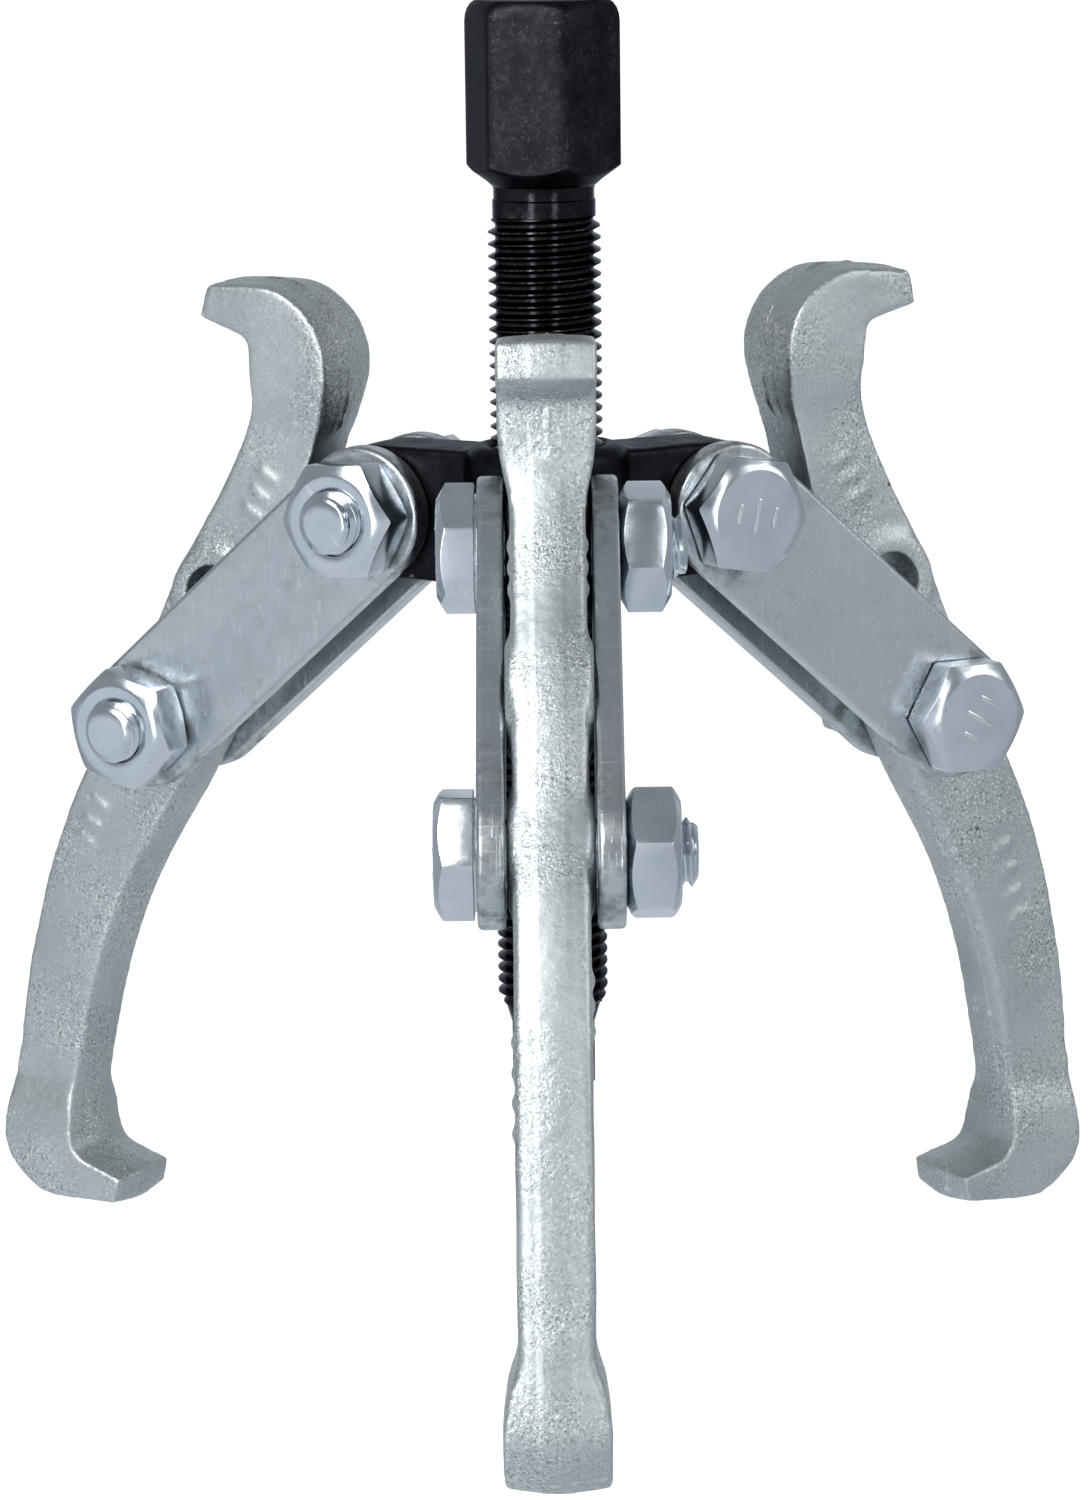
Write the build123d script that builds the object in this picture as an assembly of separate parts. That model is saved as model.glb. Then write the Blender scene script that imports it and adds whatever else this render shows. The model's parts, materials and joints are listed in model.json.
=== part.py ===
"""Three-jaw reversible gear puller, standing on its lower claws.

A threaded yoke carries three link pairs, each link pair carries one forged double-ended jaw, and a
forcing screw runs down the middle. +Z is up along the screw, -Y is the front, and the origin is on the
screw's axis, half way along its pilot nose. All sizes are in millimetres.
"""

from build123d import *
import math
import os

# ---- driving dimensions ----------------------------------------------------------------------------

# Each arm is drawn along +X, with its bolt heads on the -Y side, and then turned to its own azimuth.
ARM_AZIMUTH = {"front": -90.0, "left": 150.0, "right": 30.0}
# How far each jaw has swung about its lower bolt as the puller stands, claws outward positive.
JAW_SWING = {"front": 3.2, "left": 0.0, "right": -4.0}
LINK_DROP = 41.0  # how far the links point below the horizontal

PIVOT_RADIUS = 22.5  # from the screw's axis to the upper pivots
LINK_LENGTH = 45.0  # from the upper pivot to the lower pivot

RUNNING_GAP = 0.06  # radial clearance wherever one piece turns or slides in another
SIDE_GAP = 0.1  # play on each side of a lug or boss between its two straps

# Forcing screw, M14 x 1.5 with a 17 mm hex head. Every piece is drawn with its heights measured from the
# upper pivots, and is lowered onto the origin as it is written.
SCREW_RADIUS = 6.95
HEX_ACROSS_FLATS = 17.0
HEX_TOP = 63.8
HEX_CONE_TOP = 44.3  # below this the head's corners are turned away to a cone
HEX_BOTTOM = 41.8
HEX_EDGE = 1.3
HEX_TURN = -12.0  # how far the head has turned from having one flat square to the front
NECK_RADIUS = 6.3
THREAD_TOP = 39.4
THREAD_CHAMFER = 0.7
THREAD_BOTTOM = -61.4
NOSE_CONE_BOTTOM = -64.3
NOSE_RADIUS = 5.25
NOSE_BOTTOM = -73.0
NOSE_CHAMFER = 0.7

# The ball that bears on the shaft being pushed, held in a socket in the nose.
BALL_RADIUS = 3.0
BALL_DROP = 1.4  # how far the ball stands out of the nose
BALL_MOUTH_RADIUS = 2.9  # the socket's rim is a little narrower than the ball

# Yoke
BOSS_RADIUS = 10.0
BOSS_TOP = 9.5
BOSS_BOTTOM = -9.5
BOSS_EDGE = 1.8
BORE_CHAMFER = 0.6
LUG_RADIUS = 8.4
LUG_WIDTH = 10.2
ARM_WIDTH = 10.2

# Straps
STRAP_THICKNESS = 3.2
STRAP_END_RADIUS = 8.6

# M8 x 25 bolts and their nuts
BOLT_RADIUS = 4.0
BOLT_LENGTH = 25.0
BOLT_POINT = 0.9
HEAD_HEIGHT = 4.9
NUT_HEIGHT = 6.3
FASTENER_ACROSS_FLATS = 14.0
FASTENER_CHAMFER = 0.8
NUT_THREAD_GAP = 0.02  # the nuts' plain bores stand this far off their bolts
# The direction one flat of each head and nut faces, above the horizontal, in degrees
HEAD_TURN = {"front_upper": 57.0, "front_lower": 34.0, "left_upper": 12.0, "left_lower": 40.0,
             "right_upper": 20.0, "right_lower": 29.0}
NUT_TURN = {"front_upper": 21.0, "front_lower": 51.0, "left_upper": 27.0, "left_lower": 46.0,
            "right_upper": 48.0, "right_lower": 8.0}

# Jaw. Its outline is drawn from the bolt hole in use: u points outward, v points up.
SPARE_HOLE = (-9.1, 16.6)
JAW_BOSS_RADIUS = 6.7
JAW_BOSS_WIDTH = 10.2
WEB_WIDTH = 8.7
UPPER_CLAW_WIDTH = 11.6
LOWER_CLAW_WIDTH = 12.0
UPPER_CLAW_BACK = [(-24.4, 35.0), (-26.7, 41.5), (-27.6, 46.0), (-27.3, 49.8), (-24.9, 54.1),
                   (-21.2, 56.7), (-16.7, 57.5)]
UPPER_CLAW_TIP = [(-9.9, 57.4), (-8.6, 52.9)]
UPPER_CLAW_ROOT = (-15.9, 50.4)
OUTER_EDGE = [(-15.9, 44.4), (-15.1, 40.2), (-13.0, 35.6), (-8.0, 27.2), (-3.3, 20.0), (0.3, 13.0),
              (6.0, 3.0), (13.5, -9.8), (18.4, -20.4), (21.8, -31.2), (24.2, -42.0), (25.4, -49.6)]
LOWER_CLAW_HEEL = [(26.9, -56.2), (26.4, -63.6), (22.1, -67.5), (17.2, -68.3)]
LOWER_CLAW_TIP = [(8.7, -67.9), (7.7, -64.0)]
LOWER_CLAW_ROOT = (15.5, -61.6)
INNER_EDGE = [(15.9, -53.2), (13.9, -44.0), (9.9, -31.3), (5.0, -21.1), (-2.4, -9.8),
              (-8.6, 1.2), (-15.3, 13.2), (-20.6, 24.6)]
UPPER_ROOT_FILLET = 1.6
LOWER_ROOT_FILLET = 3.0
# Half widths up the jaw, from its foot to its top: the claws are wider than the web
WIDTH_PROFILE = [(-70.0, LOWER_CLAW_WIDTH / 2), (-59.5, LOWER_CLAW_WIDTH / 2), (-55.8, 5.5),
                 (-52.0, WEB_WIDTH / 2), (37.0, WEB_WIDTH / 2), (39.4, 4.6), (41.3, 5.1), (43.4, 5.5),
                 (47.0, UPPER_CLAW_WIDTH / 2), (60.0, UPPER_CLAW_WIDTH / 2)]

# ---- sizes that follow ------------------------------------------------------------------------------

STRAP_INNER = LUG_WIDTH / 2 + SIDE_GAP
STRAP_OUTER = STRAP_INNER + STRAP_THICKNESS
HOLE_RADIUS = BOLT_RADIUS + RUNNING_GAP
BALL_CENTRE = NOSE_BOTTOM - BALL_DROP + BALL_RADIUS
ORIGIN_HEIGHT = (NOSE_CONE_BOTTOM + NOSE_BOTTOM + NOSE_CHAMFER) / 2
UPPER_PIVOT = Vector(PIVOT_RADIUS, 0, 0)
LINK_DIRECTION = Vector(math.cos(math.radians(LINK_DROP)), 0, -math.sin(math.radians(LINK_DROP)))
LOWER_PIVOT = UPPER_PIVOT + LINK_DIRECTION * LINK_LENGTH
PIVOTS = {"upper": UPPER_PIVOT, "lower": LOWER_PIVOT}


def rod(radius, start, end, centre=Vector(0, 0, 0)):
    """A cylinder along Y through centre, from y = start to y = end."""
    plane = Plane(origin=(centre.X, start, centre.Z), x_dir=(1, 0, 0), z_dir=(0, 1, 0))
    return extrude(plane * Circle(radius), amount=end - start)


def upright(radius, bottom, top):
    """A cylinder on the screw's axis."""
    return Pos(0, 0, bottom) * Cylinder(radius, top - bottom, align=(Align.CENTER, Align.CENTER, Align.MIN))


def on_arm(shape, arm):
    """Turn a piece drawn along +X to its own arm."""
    return Rot(0, 0, ARM_AZIMUTH[arm]) * shape


# ---- pieces on the screw's axis ---------------------------------------------------------------------


def make_yoke():
    """Round boss with a threaded bore, here plain, and three arms that end in drilled lugs."""
    boss = upright(BOSS_RADIUS, BOSS_BOTTOM, BOSS_TOP)
    yoke = fillet(boss.edges().filter_by(GeomType.CIRCLE), BOSS_EDGE)
    for arm in ARM_AZIMUTH:
        bar = Pos(PIVOT_RADIUS / 2, 0, 0) * Box(PIVOT_RADIUS, ARM_WIDTH, 2 * LUG_RADIUS)
        lug = rod(LUG_RADIUS, -LUG_WIDTH / 2, LUG_WIDTH / 2, UPPER_PIVOT)
        yoke = yoke + on_arm(bar + lug, arm)
    for arm in ARM_AZIMUTH:
        yoke = yoke - on_arm(rod(HOLE_RADIUS, -LUG_WIDTH, LUG_WIDTH, UPPER_PIVOT), arm)
    bore_radius = SCREW_RADIUS + RUNNING_GAP
    bore = upright(bore_radius, BOSS_BOTTOM - 1, BOSS_TOP + 1)
    for face, side in ((BOSS_TOP, 1), (BOSS_BOTTOM, -1)):
        countersink = Cone(bore_radius, bore_radius + 2 * BORE_CHAMFER, 2 * BORE_CHAMFER)
        bore += Pos(0, 0, face) * Rot(90 - 90 * side, 0, 0) * countersink
    return yoke - bore


def make_forcing_screw():
    """Hex head, neck, M14 thread (here plain), cone and pilot nose with a socket for the ball."""
    head = Pos(0, 0, HEX_BOTTOM) * extrude(
        Rot(0, 0, HEX_TURN) * RegularPolygon(HEX_ACROSS_FLATS / 2, 6, major_radius=False),
        amount=HEX_TOP - HEX_BOTTOM)
    corner_radius = HEX_ACROSS_FLATS / math.sqrt(3)
    turned = Polyline((0, HEX_BOTTOM), (NECK_RADIUS, HEX_BOTTOM), (corner_radius, HEX_CONE_TOP),
                      (corner_radius, HEX_TOP - HEX_EDGE), (corner_radius - HEX_EDGE, HEX_TOP),
                      (0, HEX_TOP), (0, HEX_BOTTOM))
    head = head & revolve(Plane.XZ * make_face(turned), Axis.Z)
    outline = Polyline((0, NOSE_BOTTOM), (NOSE_RADIUS - NOSE_CHAMFER, NOSE_BOTTOM),
                       (NOSE_RADIUS, NOSE_BOTTOM + NOSE_CHAMFER), (NOSE_RADIUS, NOSE_CONE_BOTTOM),
                       (SCREW_RADIUS, THREAD_BOTTOM), (SCREW_RADIUS, THREAD_TOP - THREAD_CHAMFER),
                       (NECK_RADIUS, THREAD_TOP), (NECK_RADIUS, HEX_CONE_TOP),
                       (0, HEX_CONE_TOP), (0, NOSE_BOTTOM))
    shank = revolve(Plane.XZ * make_face(outline), Axis.Z)
    socket = Pos(0, 0, BALL_CENTRE) * Sphere(BALL_RADIUS + RUNNING_GAP)
    socket += upright(BALL_MOUTH_RADIUS, NOSE_BOTTOM - 1, BALL_CENTRE)
    return head + shank - socket


def make_thrust_ball():
    """The hard ball that fills the nose's socket, apart from a running gap."""
    return Pos(0, 0, BALL_CENTRE) * Sphere(BALL_RADIUS)


# ---- links ------------------------------------------------------------------------------------------


def make_strap(side):
    """One flat link plate with two holes; side is -1 at the bolt heads and +1 at the nuts."""
    ends = Circle(STRAP_END_RADIUS) + Pos(LINK_LENGTH, 0) * Circle(STRAP_END_RADIUS)
    middle = Pos(LINK_LENGTH / 2, 0) * Rectangle(LINK_LENGTH, 2 * STRAP_END_RADIUS)
    holes = Circle(HOLE_RADIUS) + Pos(LINK_LENGTH, 0) * Circle(HOLE_RADIUS)
    outline = middle + ends - holes
    near_face = STRAP_INNER if side > 0 else -STRAP_OUTER
    plane = Plane(origin=(PIVOT_RADIUS, near_face, 0), x_dir=tuple(LINK_DIRECTION), z_dir=(0, 1, 0))
    return extrude(plane * outline, amount=STRAP_THICKNESS)


def hex_block(pivot, start, end, turn, chamfered_start, chamfered_end):
    """A hexagon along Y with the corners of one or both faces turned down to a round land."""
    plane = Plane(origin=(pivot.X, start, pivot.Z), x_dir=(1, 0, 0), z_dir=(0, 1, 0))
    # The plane's own y axis points down, so a flat that faces up by turn is drawn at minus turn.
    flat = Rot(0, 0, -turn) * RegularPolygon(FASTENER_ACROSS_FLATS / 2, 6, major_radius=False, rotation=30)
    block = extrude(plane * flat, amount=end - start)
    corner_radius = FASTENER_ACROSS_FLATS / math.sqrt(3)
    envelope = rod(corner_radius, start, end, pivot)
    rims = envelope.edges().filter_by(GeomType.CIRCLE).sort_by(Axis.Y)
    chosen = [rims[0]] * chamfered_start + [rims[-1]] * chamfered_end
    return block & chamfer(chosen, FASTENER_CHAMFER)


def make_bolt(arm, level):
    """M8 hex bolt: head on the -Y side, shank right through the link, and a bevelled point."""
    pivot = PIVOTS[level]
    turn = HEAD_TURN[f"{arm}_{level}"]
    head = hex_block(pivot, -STRAP_OUTER - HEAD_HEIGHT, -STRAP_OUTER, turn, True, False)
    shank = rod(BOLT_RADIUS, -STRAP_OUTER - HEAD_HEIGHT / 2, BOLT_LENGTH - STRAP_OUTER, pivot)
    point = shank.edges().filter_by(GeomType.CIRCLE).sort_by(Axis.Y)[-1]
    return head + chamfer(point, BOLT_POINT)


def make_nut(arm, level):
    """M8 hex nut, chamfered on both faces, with its thread drawn as a plain bore."""
    pivot = PIVOTS[level]
    block = hex_block(pivot, STRAP_OUTER, STRAP_OUTER + NUT_HEIGHT, NUT_TURN[f"{arm}_{level}"], True, True)
    return block - rod(BOLT_RADIUS + NUT_THREAD_GAP, 0, 2 * STRAP_OUTER + NUT_HEIGHT, pivot)


# ---- jaw --------------------------------------------------------------------------------------------


def jaw_outline():
    """The forging's side view, as one closed wire from the upper claw's tip round and back again."""
    back = UPPER_CLAW_BACK[::-1]
    outer = Spline(OUTER_EDGE + [LOWER_CLAW_HEEL[0]], tangents=[Vector(0, -1), Vector(1.2, -6.6)])
    heel = Spline(LOWER_CLAW_HEEL, tangents=[outer % 1, Vector(-1, 0)])
    inner = Spline(INNER_EDGE + [UPPER_CLAW_BACK[0]])
    hook_back = Spline(UPPER_CLAW_BACK, tangents=[inner % 1, Vector(1, 0)])
    corners = [
        Polyline(back[0], *UPPER_CLAW_TIP, UPPER_CLAW_ROOT, OUTER_EDGE[0]),
        Polyline(LOWER_CLAW_HEEL[-1], *LOWER_CLAW_TIP, LOWER_CLAW_ROOT, INNER_EDGE[0]),
    ]
    face = make_face([outer, heel, inner, hook_back] + [edge for line in corners for edge in line.edges()])
    roots = {UPPER_CLAW_ROOT: UPPER_ROOT_FILLET, LOWER_CLAW_ROOT: LOWER_ROOT_FILLET}
    for root, radius in roots.items():
        vertex = face.vertices().sort_by_distance(Vector(*root, 0))[0]
        face = fillet(vertex, radius)
    return face


def make_jaw(arm):
    """Web and claws cut from one outline, with raised bosses round the two bolt holes."""
    side_view = extrude(Plane.XZ * jaw_outline(), amount=LOWER_CLAW_WIDTH, both=True)
    right = [(half, v) for v, half in WIDTH_PROFILE]
    left = [(-half, v) for v, half in WIDTH_PROFILE[::-1]]
    end_view = make_face(Polyline(*right, *left, right[0]))
    thickness = extrude(Plane.YZ * end_view, amount=2 * LINK_LENGTH, both=True)
    jaw = side_view & thickness
    hole_places = [Vector(0, 0, 0), Vector(SPARE_HOLE[0], 0, SPARE_HOLE[1])]
    for place in hole_places:
        jaw = jaw + rod(JAW_BOSS_RADIUS, -JAW_BOSS_WIDTH / 2, JAW_BOSS_WIDTH / 2, place)
    for place in hole_places:
        jaw = jaw - rod(HOLE_RADIUS, -LOWER_CLAW_WIDTH, LOWER_CLAW_WIDTH, place)
    # A turn about +Y carries +X towards -Z, so an outward swing of the lower claw is a negative one.
    return Pos(*LOWER_PIVOT) * Rot(0, -JAW_SWING[arm], 0) * jaw


# ---- write every piece ------------------------------------------------------------------------------


def main():
    """Write one STEP file for each piece, named after its node."""
    pieces = {"yoke": make_yoke(), "forcing_screw": make_forcing_screw(), "thrust_ball": make_thrust_ball()}
    straps = {"a": make_strap(-1), "b": make_strap(1)}
    for arm in ARM_AZIMUTH:
        pieces[f"jaw_{arm}"] = on_arm(make_jaw(arm), arm)
        for name, strap in straps.items():
            pieces[f"strap_{arm}_{name}"] = on_arm(strap, arm)
        for level in PIVOTS:
            pieces[f"bolt_{arm}_{level}"] = on_arm(make_bolt(arm, level), arm)
            pieces[f"nut_{arm}_{level}"] = on_arm(make_nut(arm, level), arm)
    os.makedirs("parts", exist_ok=True)
    for node, piece in pieces.items():
        export_step(Pos(0, 0, -ORIGIN_HEIGHT) * piece, f"parts/{node}.step")


main()
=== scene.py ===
"""Three-jaw gear puller: the looks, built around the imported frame.

The CAD nodes give every place and size. The screw, the bolts, the nuts, the straps and the forgings are
made again here with threads, turned chamfers, rolled edges and forged surfaces, and replace their nodes.
Lengths are in metres; MM turns millimetres into metres.
"""

import json
import math

import bmesh
import bpy
import numpy as np
from mathutils import Matrix, Vector, noise


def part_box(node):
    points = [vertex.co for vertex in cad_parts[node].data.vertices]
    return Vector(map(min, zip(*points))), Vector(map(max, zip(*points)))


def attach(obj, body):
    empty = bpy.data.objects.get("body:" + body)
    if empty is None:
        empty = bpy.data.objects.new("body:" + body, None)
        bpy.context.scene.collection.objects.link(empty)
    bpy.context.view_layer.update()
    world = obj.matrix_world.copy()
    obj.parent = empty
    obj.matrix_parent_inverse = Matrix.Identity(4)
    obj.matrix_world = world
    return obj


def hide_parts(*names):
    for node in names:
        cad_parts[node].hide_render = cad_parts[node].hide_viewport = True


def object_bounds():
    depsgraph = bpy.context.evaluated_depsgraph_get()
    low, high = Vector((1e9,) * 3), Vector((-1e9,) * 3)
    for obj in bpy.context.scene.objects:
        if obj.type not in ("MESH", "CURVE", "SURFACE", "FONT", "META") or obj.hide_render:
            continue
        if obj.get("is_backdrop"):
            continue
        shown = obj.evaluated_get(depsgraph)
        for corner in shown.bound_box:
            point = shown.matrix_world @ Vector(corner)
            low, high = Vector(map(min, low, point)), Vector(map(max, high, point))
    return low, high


MM = 0.001
UP = Vector((0, 0, 1))

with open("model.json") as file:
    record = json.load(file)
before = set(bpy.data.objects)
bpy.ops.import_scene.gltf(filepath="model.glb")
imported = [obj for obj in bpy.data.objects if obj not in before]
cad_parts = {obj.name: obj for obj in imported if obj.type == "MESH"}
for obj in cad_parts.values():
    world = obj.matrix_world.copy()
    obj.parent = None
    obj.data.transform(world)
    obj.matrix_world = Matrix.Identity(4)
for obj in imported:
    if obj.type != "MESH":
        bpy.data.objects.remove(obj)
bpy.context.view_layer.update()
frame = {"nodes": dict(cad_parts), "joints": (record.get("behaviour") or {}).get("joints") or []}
joints = {joint["name"]: joint for joint in frame["joints"]}
ARMS = ("front", "left", "right")

# ---- places taken from the frame ---------------------------------------------------------------------


def node_points(node):
    """Every vertex of a CAD node, as an array in the row frame."""
    mesh = frame["nodes"][node].data
    points = np.empty(len(mesh.vertices) * 3, np.float32)
    mesh.vertices.foreach_get("co", points)
    return points.reshape(-1, 3).astype(float)


def pivot(arm, level):
    """(place, axis) of an arm's bolt, with the axis pointing from the bolt's head to its nut."""
    joint = joints[f"jaw_{arm}_swing" if level == "lower" else f"link_{arm}_swing"]
    axis = Vector(joints[f"jaw_{arm}_swing"]["axis"]).normalized()
    return Vector(joint["pos_m"]), axis


def axis_frame(origin, axis, toward):
    """A matrix whose z axis is axis and whose x axis points as nearly as it can at toward."""
    z = axis.normalized()
    x = (toward - z * toward.dot(z)).normalized()
    y = z.cross(x)
    turn = Matrix((x, y, z)).transposed().to_4x4()
    return Matrix.Translation(origin) @ turn


def fastener_frame(node, arm, level):
    """The frame of a bolt or nut: z along its axis and x at one of its hexagon's corners."""
    origin, axis = pivot(arm, level)
    offset = node_points(node) - np.array(origin)
    across = offset - np.outer(offset @ np.array(axis), np.array(axis))
    corner = across[np.argmax((across**2).sum(1))]
    return axis_frame(origin, axis, Vector(corner))


def span_along(node, matrix):
    """The lowest and highest place of a node along a frame's z axis, and its largest radius."""
    inverse = np.array(matrix.inverted())
    local = node_points(node) @ inverse[:3, :3].T + inverse[:3, 3]
    return local[:, 2].min(), local[:, 2].max(), np.hypot(local[:, 0], local[:, 1]).max()


# ---- mesh tools --------------------------------------------------------------------------------------


def add_object(name, vertices, faces, matrix=None, sharp_angle=None):
    mesh = bpy.data.meshes.new(name)
    mesh.from_pydata([tuple(v) for v in vertices], [], faces)
    if matrix is not None:
        mesh.transform(matrix)
    mesh.validate()
    mesh.update()
    mesh.shade_smooth()
    if sharp_angle is not None:
        mesh.set_sharp_from_angle(angle=math.radians(sharp_angle))
    made = bpy.data.objects.new(name, mesh)
    bpy.context.scene.collection.objects.link(made)
    return made


def ring_mesh(name, rows, matrix, closed=False, sharp_angle=32, thread=(0, 0)):
    """Joins rows of points round a z axis into one skin.

    Each row is (radii, heights), one value for each column. An open skin is capped at both ends, and a
    closed one joins its last row to its first, as round a nut. thread is the first and last row of a
    helix: there the last column joins the first column of the row one turn further on.
    """
    columns = len(rows[0][0])
    first, last = thread
    lead = [min(row + len(THREAD_PROFILE), last) if first <= row < last else row for row in range(len(rows))]
    angle = np.arange(columns) * 2 * math.pi / columns
    grid = [np.stack([r * np.cos(angle), r * np.sin(angle), h + 0 * angle], 1) for r, h in rows]
    vertices = np.concatenate(grid).tolist()
    faces = []
    count = len(rows)
    for row in range(count if closed else count - 1):
        here, after = row, (row + 1) % count
        for column in range(columns - 1):
            a, b = here * columns + column, after * columns + column
            faces.append((a, a + 1, b + 1, b))
        a, b = (here + 1) * columns - 1, (after + 1) * columns - 1
        faces.append((a, lead[here] * columns, lead[after] * columns, b))
    if not closed:
        for row, flip in ((0, True), (count - 1, False)):
            centre = len(vertices)
            vertices.append((0.0, 0.0, float(np.mean(grid[row][:, 2]))))
            for column in range(columns):
                a, b = row * columns + column, row * columns + (column + 1) % columns
                faces.append((b, a, centre) if flip else (a, b, centre))
    made = add_object(name, vertices, faces, matrix)
    tidy_mesh(made.data, sharp_angle)
    return made


def tidy_mesh(mesh, sharp_angle):
    """Welds points that coincide, turns every face outward and marks the sharp edges."""
    work = bmesh.new()
    work.from_mesh(mesh)
    bmesh.ops.remove_doubles(work, verts=work.verts, dist=0.002 * MM)
    bmesh.ops.dissolve_degenerate(work, edges=work.edges, dist=0.001 * MM)
    bmesh.ops.recalc_face_normals(work, faces=work.faces)
    work.to_mesh(mesh)
    work.free()
    mesh.shade_smooth()
    mesh.set_sharp_from_angle(angle=math.radians(sharp_angle))


def add_marks(target, marks):
    """Adds separate small closed skins, such as raised marks, to an object's mesh."""
    mesh = target.data
    vertices = [tuple(v.co) for v in mesh.vertices]
    faces = [tuple(p.vertices) for p in mesh.polygons]
    for points, mark_faces in marks:
        faces += [tuple(i + len(vertices) for i in face) for face in mark_faces]
        vertices += [tuple(p) for p in points]
    mesh.clear_geometry()
    mesh.from_pydata(vertices, [], faces)
    mesh.validate()
    tidy_mesh(mesh, 32)


def hexagon(columns, across_flats, softness=70):
    """The radius of a hexagon at each column, with a corner at column 0 and slightly rounded corners."""
    angle = np.arange(columns) * 2 * math.pi / columns
    total = np.zeros(columns)
    for side in range(6):
        normal = math.radians(30 + 60 * side)
        total += np.maximum(np.cos(angle - normal), 0) ** softness
    return across_flats / 2 / total ** (1 / softness)


# A 60 degree thread over one pitch: (share of the pitch, share of the depth from root to crest).
THREAD_PROFILE = ((0.0, 0.0), (0.10, 0.0), (0.42, 1.0), (0.54, 1.0), (0.86, 0.0))


def thread_rows(columns, bottom, top, pitch, crest, root, runout, ends=(None, None)):
    """Rows of a right-hand 60 degree thread between two heights, listed from bottom to top.

    The rows follow the helix, so that crests stay crisp. At both ends the crest is turned down over the
    length runout, to the radii in ends where they are given and to the root where they aren't.
    """
    turn = np.arange(columns) / columns
    low_end, high_end = [root if end is None else end for end in ends]
    turns = int((top - bottom) / pitch) + 3
    rows = []
    for step in range(-1, turns):
        for share, depth in THREAD_PROFILE:
            radius = root + depth * (crest - root)
            height = bottom + (step + share + turn) * pitch
            low_limit = low_end + np.maximum(height - bottom, 0) / runout * (crest - low_end)
            high_limit = high_end + np.maximum(top - height, 0) / runout * (crest - high_end)
            limit = np.minimum(low_limit, high_limit)
            rows.append((np.minimum(radius, limit), np.clip(height, bottom, top)))
    return rows


# ---- fasteners ---------------------------------------------------------------------------------------

FASTENER_COLUMNS = 120
CHAMFER_SLOPE = math.tan(math.radians(28))
FASTENER_FLATS = 14.0 * MM
LAND_RADIUS = 5.95 * MM
WASHER_RADIUS = 6.5 * MM
WASHER_HEIGHT = 0.3 * MM
M8_CREST = 3.98 * MM
M8_ROOT = 3.35 * MM
M8_PITCH = 1.25 * MM
M8_THREAD = 7.0 * MM  # how far the thread reaches back from the bolt's tip
M8_RUNOUT = 0.6 * MM
M8_POINT = M8_ROOT - 0.35 * MM
TIP_ROUND = 0.1 * MM
TIP_CHAMFER = 0.25 * MM
EDGE_ROUND = 0.12 * MM
MARK_SPACING = 2.6 * MM
MARK_WIDTH = 0.55 * MM
MARK_HEIGHT = 0.16 * MM
LONG_MARK = 4.4 * MM
SHORT_MARK = 2.6 * MM


def hex_end_rows(radii, face, direction):
    """Rows from the round land of a hexagon's end face down its turned chamfer to the flats."""
    chamfer = np.maximum(radii - LAND_RADIUS, 0) * CHAMFER_SLOPE
    cone = LAND_RADIUS + (radii - LAND_RADIUS) * 0.5
    flat = np.ones_like(radii)
    return [
        (flat * (LAND_RADIUS - 2 * EDGE_ROUND), face * flat),
        (flat * LAND_RADIUS, (face - direction * EDGE_ROUND / 3) * flat),
        (cone, face - direction * (chamfer * 0.5 + EDGE_ROUND / 3)),
        (radii - EDGE_ROUND / 4, face - direction * (chamfer + EDGE_ROUND / 2)),
        (radii, face - direction * (chamfer + EDGE_ROUND * 1.4)),
    ]


def even_row(radius, height, columns=FASTENER_COLUMNS):
    """A round, level row of a skin."""
    flat = np.ones(columns)
    return radius * flat, height * flat


def head_marks(place, outer):
    """Plain raised bars on a bolt head: one long bar between two short ones."""
    toward = place.to_3x3() @ Vector((0, 1, 0))
    axis = place.to_3x3() @ Vector((0, 0, -1))
    marks = []
    for across, length in ((-MARK_SPACING, SHORT_MARK), (0.0, LONG_MARK), (MARK_SPACING, SHORT_MARK)):
        centre = place @ Vector((across, 0, outer))
        marks.append(raised_bar(centre, axis, toward, length, MARK_WIDTH, MARK_HEIGHT))
    return marks


def make_bolt(arm, level):
    """Hex head on a thin washer face, plain shank, and a thread that shows past the nut."""
    node = f"bolt_{arm}_{level}"
    place = fastener_frame(node, arm, level)
    outer, tip, _ = span_along(node, place)
    bearing = span_along(f"strap_{arm}_a", place)[0]
    radii = hexagon(FASTENER_COLUMNS, FASTENER_FLATS)
    base = bearing - WASHER_HEIGHT
    thread_start = tip - M8_THREAD
    rows = [even_row(LAND_RADIUS * 0.5, outer)]
    rows += hex_end_rows(radii, outer, -1)
    rows += [(radii, base - EDGE_ROUND), (radii - EDGE_ROUND, base)]
    rows = [(radius, height + np.zeros(FASTENER_COLUMNS)) for radius, height in rows]
    rows += [even_row(WASHER_RADIUS, base), even_row(WASHER_RADIUS, bearing)]
    rows += [even_row(M8_CREST, bearing), even_row(M8_CREST, thread_start - 0.3 * MM)]
    first = len(rows)
    rows += thread_rows(FASTENER_COLUMNS, thread_start, tip - TIP_ROUND, M8_PITCH, M8_CREST, M8_ROOT,
                        M8_RUNOUT, (M8_CREST, M8_POINT))
    last = len(rows) - 1
    rows += [even_row(M8_POINT - TIP_CHAMFER, tip), even_row(M8_POINT * 0.5, tip)]
    bolt = ring_mesh(f"hex_bolt_{arm}_{level}", rows, place, thread=(first, last))
    add_marks(bolt, head_marks(place, outer))
    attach(bolt, f"link_{arm}")
    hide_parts(node)
    return bolt


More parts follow.
